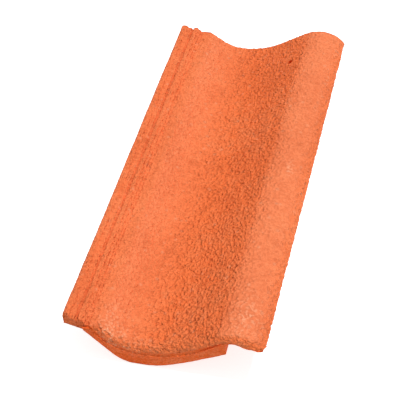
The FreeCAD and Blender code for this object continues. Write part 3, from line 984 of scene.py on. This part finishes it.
def glint_and_wear_places(x, y):
    """Where the grain tops are painted pale: a painted highlight along the nose's left and on the roll near
    the nose, and one scuff of real wear half way up the roll."""
    nose = step_down(y, 0.003, 0.016) * step_up(x, 0.030, 0.042) * step_down(x, 0.050, 0.100)
    left = bump_at(x, y, 0.047, 0.012, 0.012, 0.020)
    roll = bump_at(x, y, 0.158, 0.026, 0.012, 0.022)
    scuff = bump_at(x, y, 0.161, 0.207, 0.004, 0.008)
    return 0.22 * nose + 0.60 * left + 0.42 * roll + 0.8 * scuff


def painted_sheen(x, normal):
    """How much painted sheen the face gets, a paler tone for the lamp's light on slopes that face it: most
    on the roll and on the pan's left side, least on the flank between them, and not at all on faces that
    look along the tile."""
    places, amounts = np.array(PAINTED_SHEEN).T
    return np.interp(x, places, amounts) * step_down(np.abs(normal[..., 1]), 0.45, 0.85)


def set_back_band(x, section):
    """How far the smooth band over the weather bar is set back: 1 on the front face between the bar's
    ends, 0 elsewhere."""
    start = section.sizes.bar_start
    end = section.cover - section.sizes.bar_end_gap
    band = step_up(x, start, start + 0.008) * step_down(x, end - 0.0055, end)
    band[FACE_ROWS:] = 0.0
    band[0] = 0.0
    return band


def press_relief(skin, across, along, relief, section, finish):
    """Presses the relief into the skin, inwards so that the tile keeps its size. Gives the pressed skin,
    the vertex values for its material, and the smooth band on its front face."""
    grain = relief.sample(relief.grains(finish.grain_size), across, along)
    slow = relief.sample(relief.sheet(0.006, 0.009), across, along)
    drag = relief.sample(relief.sheet(0.0009, 0.030), across, along)
    patch = relief.sample(relief.sheet(0.012, 0.020), across, along)
    x = skin[..., 0]
    y = skin[..., 1]
    coarse = coarseness(x, y, patch)
    press = finish.grain_depth * coarse * (1.0 - grain)
    press = press + finish.waviness * step_up(slow, -1.5, 2.5)
    press = press + finish.streaks * step_down(x, 0.050, 0.072) * step_up(drag, -1.6, 2.4)

    band = set_back_band(x, section)
    press = press * (1.0 - band) + BAND_DEPTH * band
    smooth = band > 0.5
    grain = np.where(smooth, SMOOTH_GRAIN, grain)
    # painted shadow: a dark line along the top of the smooth band, under the overhanging granular lip
    grain[FACE_ROWS - 1, smooth[FACE_ROWS - 1]] = 0.0
    coarse = np.where(smooth, 1.0, coarse)

    edge = np.zeros_like(press)
    edge[[0, -1], :] = 1.0
    edge[:, [0, -1]] = 1.0
    press = press * (1.0 - 0.8 * edge)
    normal = grid_normals(skin)

    # painted shade along the underlap's grooves, taken out of the grain value, which the material darkens
    groove_shade = sum(amount * line_at(x, middle, width) for middle, width, amount in SHADED_GROOVES)
    # painted highlight along the nose and on the roll near it, and one scuff of real wear, paler on the
    # grain tops
    glint_and_wear = glint_and_wear_places(x, y) * (0.35 + 0.9 * grain) * np.clip(1.0 + 0.35 * patch, 0.3, 1.6)
    values = {
        "grain": (1.0 - groove_shade) * (1.0 - (1.0 - grain) * coarse),
        "glint_and_wear": np.clip(glint_and_wear, 0.0, 1.0),
        "sheen": painted_sheen(x, normal),
    }
    return skin - normal * press[..., None], values, smooth


def shell_faces(skin_shape, skin_hole, under_shape, under_hole, smooth):
    """Face groups of the shell: the granular skin, and with the cast finish the smooth band, the
    underside, the nail hole's wall and the seams between skin and underside."""
    skin = np.arange(skin_shape[0] * skin_shape[1]).reshape(skin_shape)
    under = skin.size + np.arange(under_shape[0] * under_shape[1]).reshape(under_shape)
    banded = np.zeros((skin_shape[0] - 1, skin_shape[1] - 1), bool)
    banded[:FACE_ROWS - 1] = smooth[1, 1:]
    banded = banded.ravel()
    quads = grid_quads(skin)
    rim = block_rim(skin, skin_hole)
    under_rim = block_rim(under, under_hole)
    wall = np.stack([rim, np.roll(rim, -1), np.roll(under_rim, -1), under_rim], axis=-1)
    seams = np.concatenate(
        [
            stitch(skin[0], under[0], 2, True),
            stitch(skin[-1], under[-1], 2, False),
            stitch(skin[:, 0], under[:, 0], 4, False),
            stitch(skin[:, -1], under[:, -1], 4, True),
        ]
    )
    under_quads = grid_quads(under)[outside_block(under_shape, under_hole)][:, ::-1]
    granular = quads[outside_block(skin_shape, skin_hole) & ~banded]
    return [(quads[banded], 1), (granular, 0), (under_quads, 1), (wall, 1), (seams, 1)]


class TILE_OT_cast_shell(bpy.types.Operator):
    """Cast the tile's shell: its section carried from nose to head, with the granular relief"""

    bl_idname = "tile.cast_shell"
    bl_label = "Cast shell"

    def execute(self, context):
        sizes = context.scene.tile_sizes
        finish = context.scene.tile_finish
        section = Section(sizes)
        grid = ShellGrid(section)
        top, hole = grid.top_face()
        foot_x, foot_y = grid.foot_line(top[0])
        skin = grid.skin(top, foot_x, foot_y)
        skin_hole = (hole[0] + FACE_ROWS, hole[1])
        skin_shape = skin.shape[:2]
        under, under_hole = grid.under_face((skin_shape[0] - 1) // 4, foot_x, foot_y)

        across = np.broadcast_to(grid.column, skin_shape)
        steps = np.linalg.norm(np.diff(skin, axis=0), axis=2)
        along = np.concatenate([np.zeros((1, skin_shape[1])), np.cumsum(steps, axis=0)])
        relief = Relief(finish.seed, grid.column[-1] + RELIEF_MARGIN, along.max() + RELIEF_MARGIN)
        skin, values, smooth = press_relief(skin, across, along, relief, section, finish)
        rough = relief.sample(relief.sheet(0.0030, 0.0060), under[..., 0], under[..., 1])
        under[..., 2] += UNDER_WAVINESS * step_up(rough, -2.0, 2.0)

        plain = np.zeros(under.shape[0] * under.shape[1])
        under_values = {"grain": plain + SMOOTH_GRAIN, "glint_and_wear": plain, "sheen": plain}
        tile = make_object(
            "tile_shell",
            place(np.concatenate([skin.reshape(-1, 3), under.reshape(-1, 3)]), sizes),
            shell_faces(skin_shape, skin_hole, under.shape[:2], under_hole, smooth),
            concrete_materials(finish),
            {key: np.concatenate([values[key].ravel(), under_values[key]]) for key in values},
        )
        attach(tile, "root")
        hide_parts(NODE)
        return {"FINISHED"}


# ---- weather bar and nibs ----

def soft_square(count, round_share):
    """A closed loop of points on a square from -1 to 1 with rounded corners: equal steps along its
    sides, then each point drawn to the corner's circle where it passes the circle's centre."""
    t = np.arange(count) / count * 4.0
    side = np.floor(t).astype(int)
    s = 2.0 * (t - side) - 1.0
    u = np.choose(side, [s, np.ones(count), -s, -np.ones(count)])
    v = np.choose(side, [-np.ones(count), s, np.ones(count), -s])
    inner = 1.0 - round_share
    centre_u = np.clip(u, -inner, inner)
    centre_v = np.clip(v, -inner, inner)
    out_u = u - centre_u
    out_v = v - centre_v
    length = np.maximum(np.hypot(out_u, out_v), TINY)
    at_corner = (np.abs(out_u) > TINY) & (np.abs(out_v) > TINY)
    scale = np.where(at_corner, round_share / length, 1.0)
    return centre_u + out_u * scale, centre_v + out_v * scale


def capped_tube(rings):
    """Quads round a stack of rings, each a closed loop of as many points, and a fan over each end."""
    count, around = rings.shape[:2]
    numbers = np.arange(count * around).reshape(count, around)
    quads = grid_quads(np.concatenate([numbers, numbers[:, :1]], axis=1))
    first = np.full(around, count * around)
    ends = np.concatenate(
        [
            np.stack([first, np.roll(numbers[0], -1), numbers[0]], axis=-1),
            np.stack([first + 1, numbers[-1], np.roll(numbers[-1], -1)], axis=-1),
        ]
    )
    middles = np.stack([rings[0].mean(axis=0), rings[-1].mean(axis=0)])
    return np.concatenate([rings.reshape(-1, 3), middles]), quads, ends


def draw_inward(rings, middle, axes, press):
    """Rings pressed towards a middle by so much, only along the axes that are 1."""
    inward = (middle - rings) * np.array(axes)
    inward = inward / np.maximum(np.linalg.norm(inward, axis=2, keepdims=True), TINY)
    return rings + inward * press[..., None]


def cast_piece(name, rings, grain, sizes, finish):
    """A closed piece with the cast finish, from its rings and the grain value of each of their points."""
    vertices, quads, ends = capped_tube(rings)
    plain = np.zeros(len(vertices))
    return make_object(
        name,
        place(vertices, sizes),
        [(quads, 0), (ends, 0)],
        concrete_materials(finish)[1:],
        {
            "grain": np.append(grain.ravel(), [SMOOTH_GRAIN, SMOOTH_GRAIN]),
            "glint_and_wear": plain,
            "sheen": plain,
        },
    )


def bar_rings(section):
    """Rings of the weather bar and the middle of each. A ring's points are its middle plus half the
    bar's length times u and half its height times v, for u and v on a soft square. It reaches from the
    bar's outline, averaged over BAR_SOFTNESS, up to the middle of the shell."""
    sizes = section.sizes
    start = sizes.bar_start
    end = section.cover - sizes.bar_end_gap
    outline_x = [start, sizes.bar_flat_start, sizes.bar_flat_end, sizes.bar_knee, end]
    outline_z = [section.base, 0.0, 0.0, sizes.bar_knee_height, section.crest_z - sizes.bar_end_drop]
    x = np.linspace(start, end, 132)
    reach = np.minimum(BAR_SOFTNESS, np.minimum(x - start, end - x))
    soft = np.linspace(-1.0, 1.0, 17)[:, None]
    foot = np.interp(x + soft * reach, outline_x, outline_z).mean(axis=0)
    foot = foot - foot.min()
    top = section.wave(x, 0.5 * sizes.shell, 0.5 * section.roll_shell, section.left_slope)
    in_lap = np.minimum(top, section.base + 0.5 * sizes.underlap_thickness)
    top = np.where(x < sizes.channel_end, in_lap, top)

    u, v = soft_square(72, 0.10)
    half = 0.5 * sizes.bar_length
    height = 0.5 * (top - foot)
    z = (foot + height)[:, None] + height[:, None] * v
    y = np.broadcast_to(sizes.bar_setback + half + half * u, z.shape)
    rings = np.stack([across_rows(x, len(u)), y, z], axis=-1)
    middle = np.stack([x, np.full_like(x, sizes.bar_setback + half), foot + height], axis=-1)
    return rings, middle[:, None]


class TILE_OT_weather_bar(bpy.types.Operator):
    """Cast the weather bar under the nose: a soft square carried across the tile, its foot following
    the bar's outline and its top buried in the shell"""

    bl_idname = "tile.weather_bar"
    bl_label = "Weather bar"

    def execute(self, context):
        sizes = context.scene.tile_sizes
        finish = context.scene.tile_finish
        rings, middle = bar_rings(Section(sizes))
        relief = Relief(finish.seed + 3, 0.20, 0.20)
        across = rings[..., 0]
        around = np.broadcast_to(np.linspace(0.0, 0.08, rings.shape[1]), across.shape)
        grain = relief.sample(relief.grains(BAR_GRAIN_SIZE), across, around)
        slow = relief.sample(relief.sheet(0.007, 0.006), across, around)
        press = BAR_GRAIN_DEPTH * (1.0 - grain) + BAR_WAVINESS * step_up(slow, -1.6, 2.2)
        press = press * (1.0 - step_down(rings[..., 2], 0.0002, 0.0012))
        rings = draw_inward(rings, middle, (0.0, 1.0, 1.0), press)
        # painted shade on the bar's front under the underlap's cut corner: the grain value is lowered
        # there, which the material darkens
        corner_shading = 1.0 - 0.75 * bump_at(rings[..., 0], rings[..., 2], 0.024, 0.030, 0.013, 0.014)
        bar = cast_piece("weather_bar", rings, corner_shading * (0.45 + 0.55 * grain), sizes, finish)
        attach(bar, "root")
        return {"FINISHED"}


def nib_rings(sizes, near_x, u, v):
    """Rings of one nib from its rounded tip up into the shell, and the point that they are pressed
    towards. A ring's points are its middle plus half its width times u and half its length times v, for
    u and v on a soft square. Its length grows evenly with height, behind the bearing side, and the
    round of the tip draws it in by NIB_ROUND (1 - cos bend)."""
    middle_x = near_x + 0.5 * sizes.nib_width
    bearing = sizes.length - sizes.nib_from_head
    root = sizes.pan_height - 0.5 * sizes.shell + NIB_BITE
    bend = np.linspace(0.5 * math.pi, 0.0, 7)
    straight = np.linspace(NIB_ROUND, root, 16)[1:]
    up = np.concatenate([NIB_ROUND * (1.0 - np.sin(bend)), straight])[:, None]
    draw_in = np.concatenate([NIB_ROUND * (1.0 - np.cos(bend)), np.zeros_like(straight)])[:, None]
    long = sizes.nib_tip_length + (sizes.nib_length - sizes.nib_tip_length) * up / root
    x = middle_x + (0.5 * sizes.nib_width - draw_in) * u
    y = bearing + draw_in + (0.5 * long - draw_in) * (v + 1.0)
    rings = np.stack([x, y, np.broadcast_to(up, x.shape)], axis=-1)
    return rings, np.array([middle_x, bearing + 0.5 * sizes.nib_length, 0.0])


class TILE_OT_nibs(bpy.types.Operator):
    """Cast the two hanging nibs: a soft rectangle carried up from the nib's tip into the shell,
    square on its bearing side and sloped behind"""

    bl_idname = "tile.nibs"
    bl_label = "Hanging nibs"

    def execute(self, context):
        sizes = context.scene.tile_sizes
        finish = context.scene.tile_finish
        relief = Relief(finish.seed + 5, 0.12, 0.06)
        sheet = relief.sheet(0.003, 0.003)
        u, v = soft_square(64, 0.16)
        for number, name in enumerate(("left_nib", "right_nib")):
            near_x = sizes.pan_line - sizes.nib_outset + number * sizes.nib_pitch
            rings, middle = nib_rings(sizes, near_x, u, v)
            up = rings[..., 2]
            around = np.broadcast_to(0.02 + 0.001 * np.arange(len(u)), up.shape)
            slow = relief.sample(sheet, around, up + 0.01 + 0.02 * number)
            press = NIB_WAVINESS * step_up(slow, -1.8, 2.0) * step_up(v, -1.0, -0.9)
            rings = draw_inward(rings, middle, (1.0, 1.0, 0.0), press)
            nib = cast_piece(name, rings, np.full_like(up, SMOOTH_GRAIN), sizes, finish)
            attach(nib, "root")
        return {"FINISHED"}


# ---- stage ----

def seen_rays(tree):
    """1 for the rays that show a surface to the camera: straight, in a gloss or through glass."""
    rays = tree.nodes.new("ShaderNodeLightPath")
    seen = maths(tree, "MAXIMUM", rays.outputs["Is Camera Ray"], rays.outputs["Is Glossy Ray"])
    return maths(tree, "MAXIMUM", seen, rays.outputs["Is Transmission Ray"])


def floor_material():
    """A pale floor: it takes shadows, shows a little brighter to the camera so that its lit part is
    white, and is clear from below."""
    made, tree, surface = new_material("studio_floor")
    pale = tree.nodes.new("ShaderNodeBsdfDiffuse")
    pale.inputs["Color"].default_value = FLOOR_COLOUR
    glow = tree.nodes.new("ShaderNodeEmission")
    glow.inputs["Color"].default_value = WHITE
    tree.links.new(maths(tree, "MULTIPLY", seen_rays(tree), FLOOR_GLOW), glow.inputs["Strength"])
    both = tree.nodes.new("ShaderNodeAddShader")
    tree.links.new(pale.outputs["BSDF"], both.inputs[0])
    tree.links.new(glow.outputs["Emission"], both.inputs[1])
    clear = tree.nodes.new("ShaderNodeBsdfTransparent")
    pick = tree.nodes.new("ShaderNodeMixShader")
    tree.links.new(tree.nodes.new("ShaderNodeNewGeometry").outputs["Backfacing"], pick.inputs["Fac"])
    tree.links.new(both.outputs["Shader"], pick.inputs[1])
    tree.links.new(clear.outputs["BSDF"], pick.inputs[2])
    tree.links.new(pick.outputs["Shader"], surface)
    return made


def lay_floor(scene):
    """A level square floor just under the tile."""
    mesh = bpy.data.meshes.new("floor")
    corners = [
        (across * FLOOR_HALF, along * FLOOR_HALF, FLOOR_HEIGHT)
        for across, along in ((-1, -1), (1, -1), (1, 1), (-1, 1))
    ]
    mesh.from_pydata(corners, [], [(0, 1, 2, 3)])
    mesh.materials.append(floor_material())
    floor = bpy.data.objects.new("floor", mesh)
    scene.collection.objects.link(floor)


def light_world(scene, fill):
    """White all round for the camera, and an even fill light of this strength for the tile."""
    world = bpy.data.worlds.new("studio")
    scene.world = world
    world.use_nodes = True
    tree = world.node_tree
    tree.nodes.clear()
    output = tree.nodes.new("ShaderNodeOutputWorld")
    back = tree.nodes.new("ShaderNodeBackground")
    back.inputs["Color"].default_value = WHITE
    bright = maths(tree, "ADD", maths(tree, "MULTIPLY", seen_rays(tree), 1.0 - fill), fill)
    tree.links.new(bright, back.inputs["Strength"])
    tree.links.new(back.outputs["Background"], output.inputs["Surface"])


def hang_key(scene, strength):
    """The soft lamp, which shines from KEY_FROM towards the tile."""
    lamp = bpy.data.lights.new("key", "SUN")
    lamp.energy = strength
    lamp.angle = KEY_SPREAD
    key = bpy.data.objects.new("key", lamp)
    across, along, up = KEY_FROM
    tilt = math.atan2(math.hypot(across, along), up)
    key.rotation_euler = (tilt, 0.0, math.atan2(across, -along))
    scene.collection.objects.link(key)


def set_camera(scene, stage):
    """The camera, turned about the vertical, then tilted, then rolled about its own axis."""
    lens = bpy.data.cameras.new("camera")
    lens.sensor_width = 36.0
    lens.lens = stage.lens
    lens.clip_start = 0.01
    lens.clip_end = 50.0
    camera = bpy.data.objects.new("camera", lens)
    turn = (
        Matrix.Rotation(stage.camera_heading, 4, "Z")
        @ Matrix.Rotation(stage.camera_tilt, 4, "X")
        @ Matrix.Rotation(stage.camera_roll, 4, "Z")
    )
    camera.matrix_world = Matrix.Translation(stage.camera_place) @ turn
    scene.collection.objects.link(camera)
    scene.camera = camera


class TILE_OT_stage(bpy.types.Operator):
    """Set the stage: a pale floor, one soft lamp, even light all round and the camera"""

    bl_idname = "tile.stage"
    bl_label = "Stage"

    def execute(self, context):
        scene = context.scene
        stage = scene.tile_stage
        scene.view_settings.view_transform = "Standard"
        lay_floor(scene)
        light_world(scene, stage.fill_strength)
        hang_key(scene, stage.key_strength)
        set_camera(scene, stage)
        return {"FINISHED"}


class TILE_PT_panel(bpy.types.Panel):
    """Sizes, finish and stage of the half tile"""

    bl_idname = "TILE_PT_panel"
    bl_label = "Half roof tile"
    bl_space_type = "VIEW_3D"
    bl_region_type = "UI"
    bl_category = "Roof Tile"

    def draw(self, context):
        layout = self.layout
        for operator in (TILE_OT_cast_shell, TILE_OT_weather_bar, TILE_OT_nibs, TILE_OT_stage):
            layout.operator(operator.bl_idname)
        for group in (context.scene.tile_sizes, context.scene.tile_finish, context.scene.tile_stage):
            box = layout.box()
            for name in group.__annotations__:
                box.prop(group, name)


CLASSES = (
    TileSizes,
    TileFinish,
    TileStage,
    TILE_OT_cast_shell,
    TILE_OT_weather_bar,
    TILE_OT_nibs,
    TILE_OT_stage,
    TILE_PT_panel,
)


def register():
    for made in CLASSES:
        bpy.utils.register_class(made)
    bpy.types.Scene.tile_sizes = PointerProperty(type=TileSizes)
    bpy.types.Scene.tile_finish = PointerProperty(type=TileFinish)
    bpy.types.Scene.tile_stage = PointerProperty(type=TileStage)


def unregister():
    del bpy.types.Scene.tile_stage
    del bpy.types.Scene.tile_finish
    del bpy.types.Scene.tile_sizes
    for made in reversed(CLASSES):
        bpy.utils.unregister_class(made)


def main():
    register()
    bpy.ops.tile.stage()
    bpy.ops.tile.cast_shell()
    bpy.ops.tile.weather_bar()
    bpy.ops.tile.nibs()


if __name__ == "__main__":
    main()
